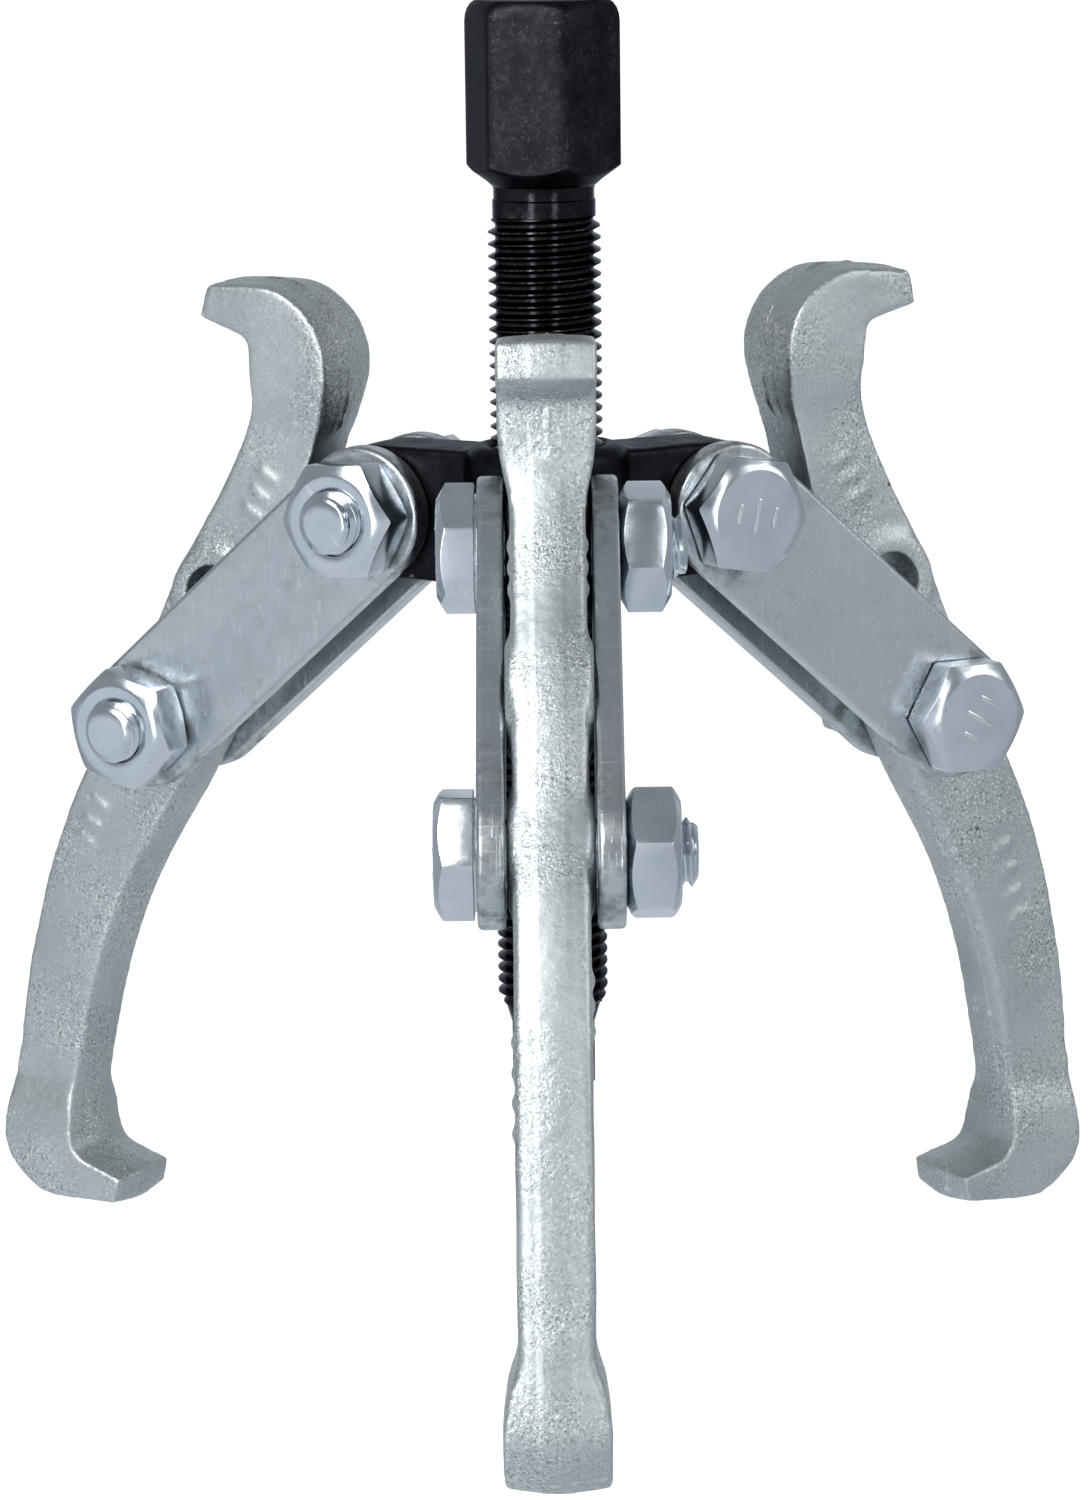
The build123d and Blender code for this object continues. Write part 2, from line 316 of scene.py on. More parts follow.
def make_nut(arm, level):
    """Hex nut, chamfered on both faces, with a countersunk plain bore."""
    node = f"nut_{arm}_{level}"
    place = fastener_frame(node, arm, level)
    low, high, _ = span_along(node, place)
    radii = hexagon(FASTENER_COLUMNS, FASTENER_FLATS)
    bore = M8_CREST + 0.02 * MM
    mouth = M8_CREST + 0.3 * MM
    sink = 0.5 * MM
    lip = 0.1 * MM
    lip_drop = 0.04 * MM
    rows = [even_row(bore, high - sink), even_row(mouth, high - lip_drop), even_row(mouth + lip, high)]
    rows += hex_end_rows(radii, high, 1)
    rows += hex_end_rows(radii, low, -1)[::-1]
    rows += [even_row(mouth + lip, low), even_row(mouth, low + lip_drop), even_row(bore, low + sink)]
    nut = ring_mesh(f"hex_nut_{arm}_{level}", rows, place, closed=True)
    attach(nut, f"link_{arm}")
    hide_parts(node)
    return nut


# ---- forcing screw -----------------------------------------------------------------------------------

SCREW_COLUMNS = 96
SCREW_FLATS = 17.0 * MM
M14_CREST = 6.95 * MM
M14_ROOT = 6.05 * MM
M14_PITCH = 1.5 * MM
M14_RUNOUT = 1.3 * MM
BALL_RADIUS = 3.0 * MM
NOSE_RADIUS = 5.25 * MM
NOSE_CHAMFER = 0.7 * MM
BAND_RADIUS = 6.35 * MM
NECK_RADIUS = 6.2 * MM
# Heights above the screw's nose.
SOCKET_RISE = 4.4 * MM
CONE_RISE = 8.7 * MM
THREAD_RISE = 11.1 * MM
THREAD_END_RISE = 110.5 * MM
HEAD_RISE = 114.3 * MM
HEAD_CONE_SLOPE = 2.5 / 3.5
HEAD_ROLL = 1.9 * MM
HEAD_LAND = SCREW_FLATS / 2 - 1.0 * MM


def screw_row(radius, height):
    return even_row(radius, height, SCREW_COLUMNS)


def nose_rows(nose):
    """Rows from the ball's socket, over the nose and up the pilot to the cone under the thread."""
    return [
        screw_row(0.8 * MM, nose + SOCKET_RISE),
        screw_row(BALL_RADIUS + 0.06 * MM, nose + 1.6 * MM),
        screw_row(BALL_RADIUS - 0.1 * MM, nose + 0.15 * MM),
        screw_row(BALL_RADIUS + 0.1 * MM, nose),
        screw_row(NOSE_RADIUS - NOSE_CHAMFER, nose),
        screw_row(NOSE_RADIUS, nose + NOSE_CHAMFER),
        screw_row(NOSE_RADIUS, nose + CONE_RISE - 0.15 * MM),
        screw_row(NOSE_RADIUS + 0.1 * MM, nose + CONE_RISE),
    ]


def head_rows(radii, bottom, top):
    """Rows up the head: a cone out to the flats, the flats, and the forged top rolling over to its dish."""
    rows = []
    for share in (0.33, 0.66):
        cone = NECK_RADIUS + (radii - NECK_RADIUS) * share
        rows.append((cone, bottom + (cone - NECK_RADIUS) * HEAD_CONE_SLOPE))
    inner = radii - 0.1 * MM
    rows.append((inner, bottom + (inner - NECK_RADIUS) * HEAD_CONE_SLOPE))
    rows.append((radii, bottom + (radii + 0.1 * MM - NECK_RADIUS) * HEAD_CONE_SLOPE))
    for share in (0.25, 0.5, 0.75):
        height = bottom + 3 * MM + share * (top - bottom - 5 * MM)
        rows.append((radii, np.full(SCREW_COLUMNS, height)))
    for turn in (0, 18, 36, 54, 72, 90):
        angle = math.radians(turn)
        radius = HEAD_LAND + (radii - HEAD_LAND) * math.cos(angle) ** 0.8
        past_flats = (radii - SCREW_FLATS / 2) / MM
        rows.append((radius, top - HEAD_ROLL * (1 - math.sin(angle)) * (1 + 0.35 * past_flats)))
    rows += [screw_row(HEAD_LAND * 0.85, top - 0.1 * MM), screw_row(HEAD_LAND * 0.4, top - 0.25 * MM)]
    return rows


def make_screw():
    """Forged hex head, turned neck and band, M14 thread, cone and pilot nose with the ball's socket."""
    node = "forcing_screw"
    points = node_points(node)
    top = points[:, 2].max()
    nose = points[:, 2].min()
    head = points[points[:, 2] > top - 10 * MM]
    corner = head[np.argmax(np.hypot(head[:, 0], head[:, 1]))]
    place = axis_frame(Vector((0, 0, 0)), UP, Vector((corner[0], corner[1], 0)))
    radii = hexagon(SCREW_COLUMNS, SCREW_FLATS, 50)
    thread_top = nose + THREAD_END_RISE
    head_bottom = nose + HEAD_RISE

    rows = nose_rows(nose)
    first = len(rows)
    rows += thread_rows(SCREW_COLUMNS, nose + THREAD_RISE, thread_top, M14_PITCH, M14_CREST, M14_ROOT,
                        M14_RUNOUT, (M14_ROOT + 0.2 * MM, BAND_RADIUS))
    last = len(rows) - 1
    rows += [
        screw_row(BAND_RADIUS, thread_top + 0.1 * MM),
        screw_row(BAND_RADIUS, thread_top + 2.0 * MM),
        screw_row(NECK_RADIUS, thread_top + 2.2 * MM),
        screw_row(NECK_RADIUS, head_bottom - 0.5 * MM),
        screw_row(NECK_RADIUS + 0.1 * MM, head_bottom - 0.1 * MM),
    ]
    rows += head_rows(radii, head_bottom, top)
    screw = ring_mesh("threaded_forcing_screw", rows, place, sharp_angle=28, thread=(first, last))
    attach(screw, "screw")
    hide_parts(node)
    return screw


# ---- forgings ----------------------------------------------------------------------------------------


def remeshed(name, mesh, voxel):
    """An object with a mesh's shape, rebuilt on an even grid of points."""
    source = bpy.data.objects.new(name, mesh)
    bpy.context.scene.collection.objects.link(source)
    modifier = source.modifiers.new("grid", "REMESH")
    modifier.mode = "VOXEL"
    modifier.voxel_size = voxel
    modifier.adaptivity = 0
    graph = bpy.context.evaluated_depsgraph_get()
    rebuilt = bpy.data.meshes.new_from_object(source.evaluated_get(graph))
    bpy.data.objects.remove(source)
    made = bpy.data.objects.new(name, rebuilt)
    bpy.context.scene.collection.objects.link(made)
    return made


class Skin:
    """A mesh's points and edges as arrays, for smoothing and moving them together."""

    def __init__(self, mesh):
        self.mesh = mesh
        self.points = np.empty(len(mesh.vertices) * 3, np.float32)
        mesh.vertices.foreach_get("co", self.points)
        self.points = self.points.reshape(-1, 3).astype(float)
        edges = np.empty(len(mesh.edges) * 2, np.int32)
        mesh.edges.foreach_get("vertices", edges)
        self.edges = edges.reshape(-1, 2)
        self.degree = np.bincount(self.edges.ravel(), minlength=len(self.points))[:, None]

    def step(self, share):
        """Moves every point a share of the way to the middle of its neighbours."""
        a, b = self.edges.T
        total = np.zeros_like(self.points)
        for axis in range(3):
            total[:, axis] = np.bincount(a, self.points[b, axis], len(self.points))
            total[:, axis] += np.bincount(b, self.points[a, axis], len(self.points))
        self.points += share * (total / self.degree - self.points)

    def smooth(self, passes):
        """Rounds edges without shrinking the whole."""
        for _ in range(passes):
            self.step(0.55)
            self.step(-0.53)

    def relax(self, passes):
        for _ in range(passes):
            self.step(0.5)

    def normals(self):
        self.write()
        found = np.empty(len(self.points) * 3, np.float32)
        self.mesh.vertices.foreach_get("normal", found)
        return found.reshape(-1, 3).astype(float)

    def write(self):
        self.mesh.vertices.foreach_set("co", self.points.astype(np.float32).ravel())
        self.mesh.update()


def unevenness(points, wavelength, seed):
    """Smooth noise between about -1 and 1 at each point."""
    shift = Vector((seed * 3.1, seed * 1.7, seed * 2.3))
    return np.array([noise.noise(Vector(p) / wavelength + shift) for p in points])


def forged_waves(points, waves, seed):
    """The uneven skin of a forging: the sum of waves, each a depth, a wavelength and its seed's shift."""
    return sum(depth * unevenness(points, length, seed + shift) for depth, length, shift in waves)


def raised_bar(centre, axis, along, length, width, height):
    """Vertices and faces of one low bar with round ends, standing on a face with axis as its normal."""
    place = axis_frame(centre, axis, along)
    sides = 16
    sunk = -0.6 * MM
    top_round = 0.25 * MM
    rings = ((width / 2, sunk), (width / 2, height * 0.5), (width / 2 - top_round, height))
    points = []
    for radius, level in rings:
        for side in range(sides):
            angle = 2 * math.pi * (side + 0.5) / sides
            reach = math.copysign((length - width) / 2, math.cos(angle))
            points.append(place @ Vector((reach + radius * math.cos(angle), radius * math.sin(angle), level)))
    faces = [tuple(range(sides))[::-1], tuple(range(2 * sides, 3 * sides))]
    for ring in range(2):
        for side in range(sides):
            beside = (side + 1) % sides
            faces.append((ring * sides + side, ring * sides + beside,
                          (ring + 1) * sides + beside, (ring + 1) * sides + side))
    return points, faces


JAW_VOXEL = 0.32 * MM
HALF_WEB = 4.35 * MM
STRIP_HALF = 2.1 * MM  # half the flat strip that the trimmed flash leaves along every narrow face
SHOULDER = 2.2 * MM  # how gently the strip turns into the drafted sides
DRAFT = math.tan(math.radians(11))
INWARD_STOP = 3.3  # degrees from upright to where a jaw's web meets the yoke
SPARE_HOLE = (-9.1 * MM, 16.6 * MM)
HOLE_WALL = 4.7 * MM
STOP_PLACE = (-24.2 * MM, 34.2 * MM)  # where the web comes up against the yoke at its inward stop
STOP_DEPTH = 0.35 * MM
UPPER_CLAW_FROM = 44 * MM
UPPER_CLAW_DRAFT = 0.35  # share of the draft that the upper claw has
STRIP_HEIGHT = 0.08 * MM
CREST_HEIGHT = 0.32 * MM
JAW_WAVES = ((0.10 * MM, 8 * MM, 0), (0.03 * MM, 1.1 * MM, 5))
EVEN_PASSES = 4
ROUND_PASSES = 16
BLEND_PASSES = 2
DRAFT_PASSES = 9
# Bounds of the smoothing, as distances from the nearer hole and as heights above the hole in use.
HOLE_CRISP = 5.6 * MM
HOLE_FADE = 1.2 * MM
BARS_PAST_HOLE = 8 * MM
BARS_FROM = -45 * MM
BARS_TO = 40 * MM
LOWER_CLAW_BELOW = -54 * MM
UPPER_CLAW_ABOVE = 45 * MM
# Plain raised bars on the web, from the lower bolt hole: (outward, up) in millimetres. The four lower
# ones on the bolt heads' side and the three lower ones on the nuts' side differ, as the real marks do.
UPPER_BARS = ((-15.2, 28.2), (-16.5, 30.6), (-17.8, 33.0))
LOWER_BARS = {-1: ((11.7, -19.2), (13.0, -22.4), (14.1, -25.6), (15.1, -28.8)),
              1: ((10.4, -12.6), (11.7, -15.2), (12.8, -17.8))}
BAR_SIZE = (3.0 * MM, 1.1 * MM, 0.5 * MM)


class JawPlace:
    """Directions and places of one jaw as it stands at rest."""

    def __init__(self, arm):
        self.hole, self.across = pivot(arm, "lower")
        radial = Vector((self.hole.x, self.hole.y, 0)).normalized()
        stop = min(abs(limit) for limit in joints[f"jaw_{arm}_swing"]["range_deg"])
        swing = math.radians(INWARD_STOP - stop)
        self.outward = radial * math.cos(swing) + UP * math.sin(swing)
        self.up = UP * math.cos(swing) - radial * math.sin(swing)

    def point(self, u, v, t=0.0):
        return self.hole + self.outward * u + self.up * v + self.across * t

    def local(self, points):
        """(outward, up, across) of each point, from the hole in use."""
        offset = points - np.array(self.hole)
        return [offset @ np.array(axis) for axis in (self.outward, self.up, self.across)]


def jaw_with_bars(node, place):
    """The CAD jaw's mesh with plain raised bars standing on both sides of its web."""
    mesh = frame["nodes"][node].data
    vertices = [v.co.copy() for v in mesh.vertices]
    faces = [tuple(p.vertices) for p in mesh.polygons]
    slope = place.outward * 0.9 + place.up * 0.45
    for side in (-1, 1):
        for u, v in UPPER_BARS + LOWER_BARS[side]:
            centre = place.point(u * MM, v * MM, side * HALF_WEB)
            points, bar_faces = raised_bar(centre, place.across * side, slope, *BAR_SIZE)
            faces += [tuple(i + len(vertices) for i in face) for face in bar_faces]
            vertices += points
    joined = bpy.data.meshes.new(node)
    joined.from_pydata([tuple(v) for v in vertices], [], faces)
    return joined


def crispness(v, t, to_hole):
    """How much of its sharpness each point keeps: most round the holes and on the bars, half on the claws."""
    bars = np.abs(np.abs(t) - HALF_WEB - BAR_SIZE[2] / 2) < 0.3 * MM
    bars &= (to_hole > BARS_PAST_HOLE) & (v < BARS_TO) & (v > BARS_FROM)
    claws = (v > UPPER_CLAW_ABOVE) | (v < LOWER_CLAW_BELOW)
    keep = np.clip((HOLE_CRISP - to_hole) / HOLE_FADE, 0, 1) * 0.85
    keep = np.maximum(keep, 0.55 * claws)
    return np.maximum(keep, 0.8 * bars)


def drafted(t, v):
    """How far each point of a narrow face stands out, falling from the flat strip to the web's sides."""
    past_strip = np.abs(t) - STRIP_HALF
    shoulder = (past_strip + np.sqrt(past_strip**2 + SHOULDER**2)) / 2
    draft = (HALF_WEB - STRIP_HALF - shoulder) * DRAFT
    return draft * np.where(v > UPPER_CLAW_FROM, UPPER_CLAW_DRAFT, 1.0)


def trimmed_flash(points, u, v, t, seed):
    """The strip left by the trimmed flash, and the broken crest of it behind the upper claw."""
    edge = np.clip((STRIP_HALF - np.abs(t)) / (0.3 * MM), 0, 1)
    strip = STRIP_HEIGHT * edge * (1 + 0.5 * unevenness(points, 5 * MM, seed + 2))
    crest = np.exp(-((t - 0.3 * MM) / (0.22 * MM)) ** 2) * (v > 34 * MM) * (u < -15 * MM)
    broken = np.clip(0.5 + 2.5 * unevenness(points, 2.2 * MM, seed + 9), 0, 1)
    return strip + CREST_HEIGHT * crest * broken


def make_jaw(arm, seed):
    """Forged jaw: die draft, a trimmed flash strip, rounded edges and plain raised bars."""
    node = f"jaw_{arm}"
    place = JawPlace(arm)
    jaw = remeshed(f"forged_{node}", jaw_with_bars(node, place), JAW_VOXEL)
    skin = Skin(jaw.data)
    skin.smooth(EVEN_PASSES)
    u, v, t = place.local(skin.points)
    to_hole = np.minimum(np.hypot(u, v), np.hypot(u - SPARE_HOLE[0], v - SPARE_HOLE[1]))
    outside = to_hole >= HOLE_WALL

    crisp = skin.points.copy()
    skin.relax(ROUND_PASSES)
    skin.points += crispness(v, t, to_hole)[:, None] * (crisp - skin.points)
    skin.relax(BLEND_PASSES)

    normals = skin.normals()
    narrow = np.clip(1.35 - 1.5 * np.abs(normals @ np.array(place.across)), 0, 1) * outside
    draft = drafted(t, v)
    skin.points += normals * (narrow * draft)[:, None]
    skin.relax(DRAFT_PASSES)

    normals = skin.normals()
    flash = trimmed_flash(skin.points, u, v, t, seed)
    uneven = forged_waves(skin.points, JAW_WAVES, seed)
    skin.points += normals * (narrow * flash + uneven * outside)[:, None]
    # The web is dressed back where it meets the yoke, so that the two only touch.
    to_stop = np.hypot(u - STOP_PLACE[0], v - STOP_PLACE[1])
    dressed = np.clip(1.9 - to_stop / (3.2 * MM), 0, 1)
    skin.points -= normals * (narrow * (draft + flash + STOP_DEPTH) * dressed)[:, None]
    skin.write()
    jaw.data.shade_smooth()
    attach(jaw, node)
    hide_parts(node)
    return jaw


YOKE_VOXEL = 0.36 * MM
YOKE_WAVES = ((0.10 * MM, 6 * MM, 0), (0.03 * MM, 1.5 * MM, 6))
YOKE_SEED = 31
YOKE_ROUND_PASSES = 14
BORE_REACH = 7.9 * MM  # points nearer than this to the screw's axis belong to the yoke's bore


def make_yoke():
    """Forged yoke: generous edge radii and a slightly uneven skin."""
    mesh = frame["nodes"]["yoke"].data.copy()
    mesh.materials.clear()
    yoke = remeshed("forged_yoke", mesh, YOKE_VOXEL)
    skin = Skin(yoke.data)
    original = skin.points.copy()
    skin.relax(YOKE_ROUND_PASSES)
    bore = np.hypot(original[:, 0], original[:, 1]) < BORE_REACH
    skin.points[bore] = original[bore]
    skin.relax(1)
    normals = skin.normals()
    uneven = forged_waves(skin.points, YOKE_WAVES, YOKE_SEED)
    skin.points += normals * (uneven * ~bore)[:, None]
    skin.write()
    yoke.data.shade_smooth()
    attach(yoke, "yoke")
    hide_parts("yoke")
    return yoke


STRAP_BEVEL = 0.7 * MM


def make_strap(arm, side):
    """Stamped link plate with rolled edges, made from the CAD plate."""
    node = f"strap_{arm}_{side}"
    mesh = frame["nodes"][node].data.copy()
    mesh.materials.clear()
    work = bmesh.new()
    work.from_mesh(mesh)
    bmesh.ops.remove_doubles(work, verts=work.verts, dist=0.002 * MM)
    bmesh.ops.dissolve_limit(work, angle_limit=math.radians(1), verts=work.verts, edges=work.edges)
    sharp = [edge for edge in work.edges if edge.calc_face_angle(0) > math.radians(40)]
    bmesh.ops.bevel(work, geom=sharp, offset=STRAP_BEVEL, segments=5, profile=0.55, affect="EDGES")
    work.to_mesh(mesh)
    work.free()
    strap = bpy.data.objects.new(f"stamped_{node}", mesh)
    bpy.context.scene.collection.objects.link(strap)
    mesh.shade_smooth()
    mesh.set_sharp_from_angle(angle=math.radians(35))
    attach(strap, f"link_{arm}")
    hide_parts(node)
    return strap


# ---- materials ---------------------------------------------------------------------------------------


class Shader:
    """A node material under construction."""

    def __init__(self, name):
        self.material = bpy.data.materials.new(name)
        self.material.use_nodes = True
        self.tree = self.material.node_tree
        self.principled = self.tree.nodes["Principled BSDF"]
        self.place = self.tree.nodes.new("ShaderNodeTexCoord").outputs["Object"]

    def node(self, kind, inputs=None, **settings):
        made = self.tree.nodes.new(kind)
        for key, value in settings.items():
            setattr(made, key, value)
        for key, value in (inputs or {}).items():
            socket = made.inputs[key]
            if isinstance(value, bpy.types.NodeSocket):
                self.tree.links.new(value, socket)
            else:
                socket.default_value = value
        return made

    def noise(self, scale, detail=2.0, roughness=0.5, place=None):
        inputs = {"Vector": place or self.place, "Scale": scale, "Detail": detail, "Roughness": roughness}
        return self.node("ShaderNodeTexNoise", inputs).outputs["Fac"]

    def ramp(self, value, low, high, to_low=0.0, to_high=1.0):
        inputs = {"Value": value, "From Min": low, "From Max": high, "To Min": to_low, "To Max": to_high}
        return self.node("ShaderNodeMapRange", inputs).outputs["Result"]

    def math(self, operation, a, b=0.0):
        return self.node("ShaderNodeMath", {0: a, 1: b}, operation=operation).outputs[0]

    def blend(self, share, a, b):
        made = self.node("ShaderNodeMix", data_type="RGBA")
        for socket, value in (("Factor", share), ("A", a), ("B", b)):
            target = next(s for s in made.inputs if s.name == socket and s.type in ("RGBA", "VALUE")
                          and (s.type == "RGBA") == (socket != "Factor"))
            if isinstance(value, bpy.types.NodeSocket):
                self.tree.links.new(value, target)
            else:
                target.default_value = value
        return next(s for s in made.outputs if s.type == "RGBA")

    def bump(self, height, distance, strength=1.0, under=None):
        inputs = {"Height": height, "Distance": distance, "Strength": strength}
        if under is not None:
            inputs["Normal"] = under
        return self.node("ShaderNodeBump", inputs).outputs["Normal"]

    def edges(self, low=0.52, high=0.60):
        """1 along convex edges, 0 elsewhere."""
        point = self.node("ShaderNodeNewGeometry").outputs["Pointiness"]
        return self.ramp(point, low, high)

    def scratches(self, scale, stretch, turn):
        """Thin lines running one way, as a value that is 1 on a line."""
        mapping = self.node("ShaderNodeMapping", {"Vector": self.place, "Rotation": turn, "Scale": stretch})
        lines = self.noise(scale, 1.0, 0.5, mapping.outputs["Vector"])
        return self.ramp(lines, 0.66, 0.72)

    def finish(self, colour, rough, metal, normal=None):
        inputs = {"Base Color": colour, "Roughness": rough, "Metallic": metal, "Normal": normal}
        for key, value in inputs.items():
            if value is None:
                continue
            socket = self.principled.inputs[key]
            if isinstance(value, bpy.types.NodeSocket):
                self.tree.links.new(value, socket)
            else:
                socket.default_value = value
        return self.material


def forged_zinc():
    """Bright zinc over a shot-blasted forging: fine painted glints in patches, a few pits, and a painted
    highlight along the edges.
    """
    s = Shader("forged_zinc")
    patches = s.ramp(s.noise(95, 2.0), 0.40, 0.60, 0.25, 1.0)
    grain = s.noise(4200, 1.5)
    tone = s.blend(s.ramp(s.noise(70, 3.0), 0.35, 0.65), (0.55, 0.60, 0.61, 1), (0.66, 0.71, 0.715, 1))
    dark = s.math("MULTIPLY", s.ramp(s.noise(2600, 1.5), 0.46, 0.34), patches)
    tone = s.blend(s.math("MULTIPLY", dark, 0.7), tone, (0.22, 0.24, 0.24, 1))
    # Painted glints: bright specks in the colour stand in for tiny facets of the blasted skin catching the
    # lights.
    painted_glint = s.math("MULTIPLY", s.ramp(s.noise(2900, 1.5), 0.55, 0.66), patches)
    tone = s.blend(painted_glint, tone, (0.98, 0.99, 0.98, 1))
    # Painted highlight: the colour turns lighter along convex edges, where a rounded edge would catch the
    # light.
    tone = s.blend(s.math("MULTIPLY", s.edges(0.515, 0.57), 0.55), tone, (0.93, 0.95, 0.94, 1))
    cells = s.node("ShaderNodeTexVoronoi", {"Vector": s.place, "Scale": 330.0}).outputs["Distance"]
    pit = s.math("MULTIPLY", s.ramp(cells, 0.15, 0.06), s.ramp(s.noise(170, 1.0), 0.64, 0.69))
    tone = s.blend(s.math("MULTIPLY", pit, 0.8), tone, (0.09, 0.09, 0.085, 1))
    rough = s.ramp(grain, 0.3, 0.7, 0.40, 0.52)
    fine = s.bump(grain, 0.07 * MM, patches)
    lumps = s.bump(s.noise(1500, 1.0), 0.08 * MM, s.math("MULTIPLY", patches, 0.8), fine)
    waves = s.bump(s.noise(330, 2.0), 0.05 * MM, 0.5, lumps)
    normal = s.bump(s.math("MULTIPLY", pit, -1.0), 0.1 * MM, 0.8, waves)
    return s.finish(tone, rough, 1.0, normal)


def plated_strip():
    """Blue-white zinc on smooth rolled strip: faint clouds, fine scratches, and grime round the bolts."""
    s = Shader("plated_strip")
    cloud = s.noise(60, 3.0, 0.55)
    mottle = s.noise(420, 3.0, 0.6)
    tone = s.blend(s.ramp(cloud, 0.3, 0.7), (0.60, 0.65, 0.685, 1), (0.70, 0.74, 0.765, 1))
    tone = s.blend(s.ramp(mottle, 0.42, 0.66, 0.0, 0.35), tone, (0.50, 0.55, 0.58, 1))
    stain = s.ramp(s.noise(150, 4.0, 0.7), 0.60, 0.74)
    tone = s.blend(s.math("MULTIPLY", stain, 0.45), tone, (0.34, 0.33, 0.30, 1))
    nearest = 1.0
    for arm in ARMS:
        for level in ("upper", "lower"):
            inputs = {0: s.place, 1: tuple(pivot(arm, level)[0])}
            away = s.node("ShaderNodeVectorMath", inputs, operation="DISTANCE").outputs["Value"]
            nearest = s.math("MINIMUM", nearest, away)
    ring = s.ramp(nearest, 13.4 * MM, 11.4 * MM)
    grime = s.math("MULTIPLY", ring, s.ramp(s.noise(330, 3.0, 0.65), 0.44, 0.64))
    tone = s.blend(s.math("MULTIPLY", grime, 0.7), tone, (0.17, 0.165, 0.15, 1))
    lines = s.scratches(160.0, (1.0, 30.0, 9.0), (0.3, 0.9, 0.5))
    crossing = s.scratches(210.0, (24.0, 2.0, 1.0), (0.8, 0.2, 1.1))
    marks = s.math("MAXIMUM", lines, crossing)
    tone = s.blend(s.math("MULTIPLY", marks, 0.4), tone, (0.88, 0.91, 0.93, 1))
    # Lighter along the convex edges: partly rubbed zinc, partly a painted highlight.
    tone = s.blend(s.math("MULTIPLY", s.edges(0.54, 0.66), 0.7), tone, (0.90, 0.92, 0.94, 1))
    rough = s.math("ADD", s.ramp(mottle, 0.3, 0.7, 0.22, 0.34), s.math("MULTIPLY", grime, 0.2))
    fine = s.bump(s.noise(2600, 2.0), 0.015 * MM, 0.5)
    waves = s.bump(mottle, 0.04 * MM, 0.35, fine)
    normal = s.bump(marks, 0.02 * MM, 0.35, waves)
    return s.finish(tone, rough, 1.0, normal)


def plated_fastener():
    """Bright smooth zinc with small dents, and rounded edges with a painted highlight along them."""
    s = Shader("plated_fastener")
    cloud = s.noise(170, 2.0)
    dents = s.noise(480, 2.0, 0.55)
    tone = s.blend(s.ramp(cloud, 0.3, 0.7), (0.64, 0.70, 0.77, 1), (0.77, 0.82, 0.87, 1))
    speck = s.ramp(s.noise(900, 3.0, 0.7), 0.66, 0.74)
    tone = s.blend(s.math("MULTIPLY", speck, 0.5), tone, (0.30, 0.30, 0.29, 1))
    # Painted highlight: the colour turns lighter along convex edges, where the turned chamfers and corners
    # would catch the light.
    tone = s.blend(s.math("MULTIPLY", s.edges(0.53, 0.62), 0.8), tone, (0.92, 0.94, 0.95, 1))
    rough = s.ramp(cloud, 0.3, 0.7, 0.15, 0.25)
    normal = s.bump(dents, 0.08 * MM, 0.4)
    return s.finish(tone, rough, 1.0, normal)


def black_oxide(name, rough_low, rough_high, wear, grain_depth, matte_above=None):
    """Oiled black oxide on steel, rubbed through to bare metal along its edges.

    Above the height matte_above the surface is as forged, which is duller than the turned part below.
    """
    s = Shader(name)
    cloud = s.noise(260, 3.0, 0.6)
    grain = s.noise(1300, 3.0, 0.6)
    tone = s.blend(s.ramp(cloud, 0.3, 0.7), (0.010, 0.011, 0.014, 1), (0.020, 0.021, 0.025, 1))
    mottle = s.math("MULTIPLY", s.ramp(s.noise(1100, 4.0, 0.75), 0.46, 0.66), s.ramp(cloud, 0.35, 0.6))
    tone = s.blend(s.math("MULTIPLY", mottle, 0.6 * wear), tone, (0.050, 0.050, 0.053, 1))
    speckle = s.ramp(s.noise(2600, 4.0, 0.75), 0.60, 0.72)
    patch = s.ramp(s.noise(190, 2.0), 0.42, 0.58)
    fine_wear = s.ramp(s.noise(1500, 3.0, 0.7), 0.50, 0.62)
    worn = s.math("MULTIPLY", s.edges(0.545, 0.62), fine_wear)
    dust = s.math("MULTIPLY", s.math("MULTIPLY", speckle, patch), 0.28)
    bare = s.math("MULTIPLY", s.math("MAXIMUM", worn, dust), wear)
    tone = s.blend(bare, tone, (0.46, 0.45, 0.43, 1))
    rough = s.ramp(cloud, 0.3, 0.7, rough_low, rough_high)
    if matte_above is not None:
        height = s.node("ShaderNodeSeparateXYZ", {"Vector": s.place}).outputs["Z"]
        rough = s.math("ADD", rough, s.ramp(height, matte_above, matte_above + 0.4 * MM, 0.0, 0.22))
    normal = s.bump(grain, grain_depth, 0.5)
    s.principled.inputs["Specular Tint"].default_value = (0.62, 0.63, 0.67, 1)
    return s.finish(tone, rough, 1.0, normal)


def ball_steel():
    """Polished hardened steel with faint clouds of wear."""
    s = Shader("ball_steel")
    cloud = s.noise(700, 2.0)
    tone = s.blend(s.ramp(cloud, 0.4, 0.6), (0.62, 0.62, 0.62, 1), (0.72, 0.72, 0.73, 1))
    return s.finish(tone, s.ramp(cloud, 0.3, 0.7, 0.08, 0.16), 1.0, s.bump(cloud, 0.01 * MM, 0.3))


def paint(thing, material):
    thing.data.materials.clear()
    thing.data.materials.append(material)


# ---- stage, light and camera --------------------------------------------------------------------------


FLOOR_HALF = 30.0
FLOOR_DROP = 14 * MM  # the claws come this much lower when the links fold down
BACKDROP_RADIUS = 4.0
BACKDROP_HEIGHT = 4.0


def stage_material(name, glow):
    """Pale matt paint that gives off most of its own light."""
    s = Shader(name)
    s.principled.inputs["Emission Color"].default_value = (1, 1, 1, 1)
    s.principled.inputs["Emission Strength"].default_value = glow
    return s.finish((0.45, 0.45, 0.45, 1), 0.9, 0.0)


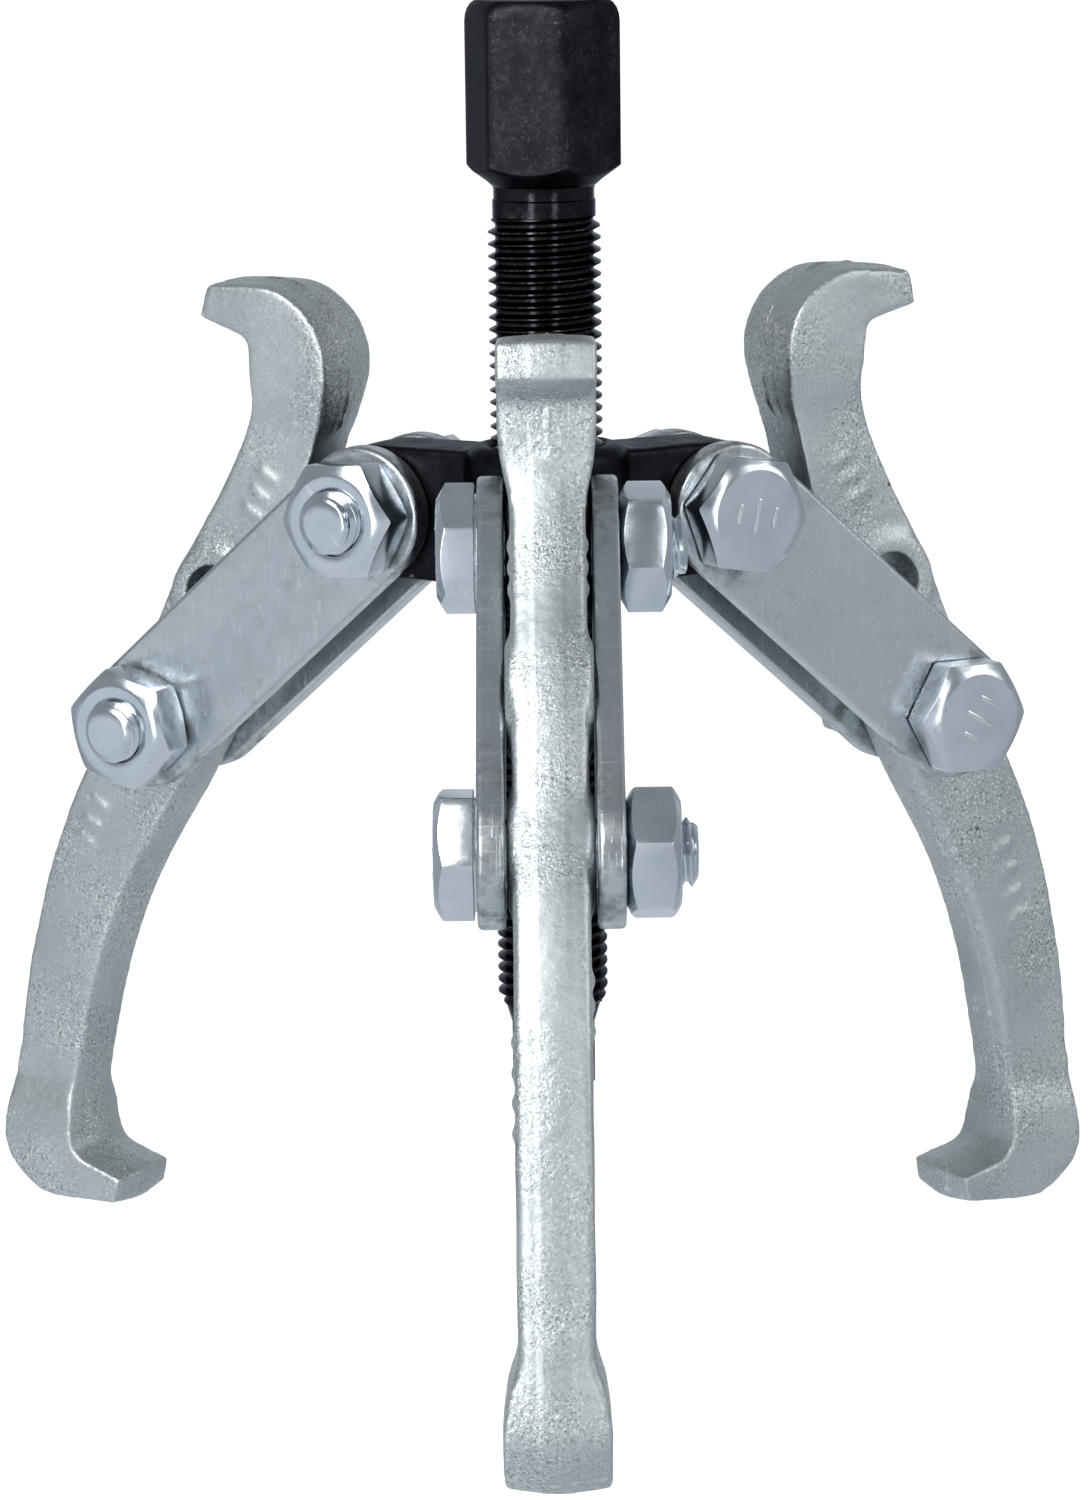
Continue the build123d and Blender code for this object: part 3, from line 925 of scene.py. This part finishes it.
def make_floor():
    """A large pale floor, just under the lowest place that the claws reach."""
    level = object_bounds()[0].z - FLOOR_DROP
    corners = [(x * FLOOR_HALF, y * FLOOR_HALF, level) for x, y in ((-1, -1), (1, -1), (1, 1), (-1, 1))]
    floor = add_object("studio_floor", corners, [(0, 1, 2, 3)])
    paint(floor, stage_material("pale_floor", 0.95))
    # Polished metal mirrors the world's even lower half instead, as it does over a matt grey table.
    floor.visible_glossy = False
    floor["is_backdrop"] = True


def make_backdrop():
    """A round pale wall, seen past the floor's far edge, that takes no part in the lighting."""
    sides = 48
    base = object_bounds()[0].z - FLOOR_DROP
    points = []
    for level in (base, base + BACKDROP_HEIGHT):
        for side in range(sides):
            angle = 2 * math.pi * side / sides
            points.append((BACKDROP_RADIUS * math.cos(angle), BACKDROP_RADIUS * math.sin(angle), level))
    faces = []
    for side in range(sides):
        beside = (side + 1) % sides
        faces.append((side, beside, sides + beside, sides + side))
    wall = add_object("studio_backdrop", points, faces)
    paint(wall, stage_material("pale_backdrop", 1.0))
    wall.visible_glossy = False
    wall.visible_diffuse = False
    wall.visible_shadow = False
    wall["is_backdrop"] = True


# Each light's name, place, size, power in watts and the place that it points at.
LIGHTS = (
    ("softbox_left", (-0.34, -0.46, 0.52), (0.40, 0.40), 2.0, (0, 0, 0.06)),
    ("softbox_right", (0.66, -0.20, 0.34), (0.40, 0.40), 0.8, (0, 0, 0.06)),
    ("strip_left", (-0.235, -0.44, 0.20), (0.10, 0.50), 0.80, (0, 0, 0.11)),
    ("strip_right", (0.20, -0.45, 0.18), (0.08, 0.45), 0.32, (0, 0, 0.11)),
)


def make_light(name, place, size, power, target):
    data = bpy.data.lights.new(name, "AREA")
    data.shape = "RECTANGLE"
    data.size, data.size_y = size
    data.energy = power
    light = bpy.data.objects.new(name, data)
    light.location = place
    light.rotation_euler = (Vector(target) - Vector(place)).to_track_quat("-Z", "Y").to_euler()
    light.visible_camera = False
    bpy.context.scene.collection.objects.link(light)


def make_world():
    """Soft surroundings: a pale table below, a dark room above the camera and a white wall behind."""
    world = bpy.data.worlds.new("studio")
    bpy.context.scene.world = world
    world.use_nodes = True
    tree = world.node_tree
    sky = tree.nodes["Background"]
    direction = tree.nodes.new("ShaderNodeTexCoord").outputs["Generated"]
    split = tree.nodes.new("ShaderNodeSeparateXYZ")
    tree.links.new(direction, split.inputs[0])

    def slope(place, start, end, low, high):
        """A value that goes smoothly from low to high as a coordinate goes from start to end."""
        made = tree.nodes.new("ShaderNodeMapRange")
        made.interpolation_type = "SMOOTHSTEP"
        limits = (("Value", place), ("From Min", start), ("From Max", end), ("To Min", low), ("To Max", high))
        for key, value in limits:
            if isinstance(value, bpy.types.NodeSocket):
                tree.links.new(value, made.inputs[key])
            else:
                made.inputs[key].default_value = value
        return made.outputs[0]

    across = tree.nodes.new("ShaderNodeMath")
    across.operation = "ABSOLUTE"
    tree.links.new(split.outputs["X"], across.inputs[0])
    wall = slope(across.outputs[0], 0.35, 0.75, 0.62, 0.36)
    table = slope(split.outputs["Y"], 0.05, 0.55, slope(split.outputs["X"], -0.9, 0.9, 0.68, 0.50), wall)
    overhead = slope(split.outputs["Z"], 0.1, 0.8, wall, 0.32)
    room = slope(split.outputs["Y"], -0.45, 0.75, 0.25, overhead)
    tree.links.new(slope(split.outputs["Z"], -0.06, 0.10, table, room), sky.inputs["Strength"])
    sky.inputs["Color"].default_value = (0.90, 0.96, 1.03, 1)


CAMERA_BACK = 542.5 * MM
CAMERA_SIDE = 0.23 * MM
CAMERA_ABOVE_PIVOTS = 85.0 * MM
CAMERA_TURN = (78.088, 0.683, -0.042)
CAMERA_LENS = 105.87


def make_camera():
    data = bpy.data.cameras.new("camera")
    data.lens = CAMERA_LENS
    data.sensor_width = 36.0
    camera = bpy.data.objects.new("camera", data)
    pivot_height = joints["link_front_swing"]["pos_m"][2]
    camera.location = (CAMERA_SIDE, -CAMERA_BACK, pivot_height + CAMERA_ABOVE_PIVOTS)
    camera.rotation_euler = [math.radians(angle) for angle in CAMERA_TURN]
    bpy.context.scene.collection.objects.link(camera)
    bpy.context.scene.camera = camera


# ---- build -------------------------------------------------------------------------------------------

zinc_forging = forged_zinc()
zinc_strip = plated_strip()
zinc_fastener = plated_fastener()

paint(make_yoke(), black_oxide("black_forging", 0.30, 0.42, 0.5, 0.06 * MM))
head_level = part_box("forcing_screw")[0].z + HEAD_RISE
paint(make_screw(), black_oxide("black_screw", 0.11, 0.20, 1.0, 0.03 * MM, head_level))
paint(frame["nodes"]["thrust_ball"], ball_steel())
for number, arm in enumerate(ARMS):
    paint(make_jaw(arm, 3 + 7 * number), zinc_forging)
    for side in "ab":
        paint(make_strap(arm, side), zinc_strip)
    for level in ("upper", "lower"):
        paint(make_bolt(arm, level), zinc_fastener)
        paint(make_nut(arm, level), zinc_fastener)

make_floor()
make_backdrop()
make_world()
for light in LIGHTS:
    make_light(*light)
make_camera()
bpy.context.scene.view_settings.view_transform = "Standard"
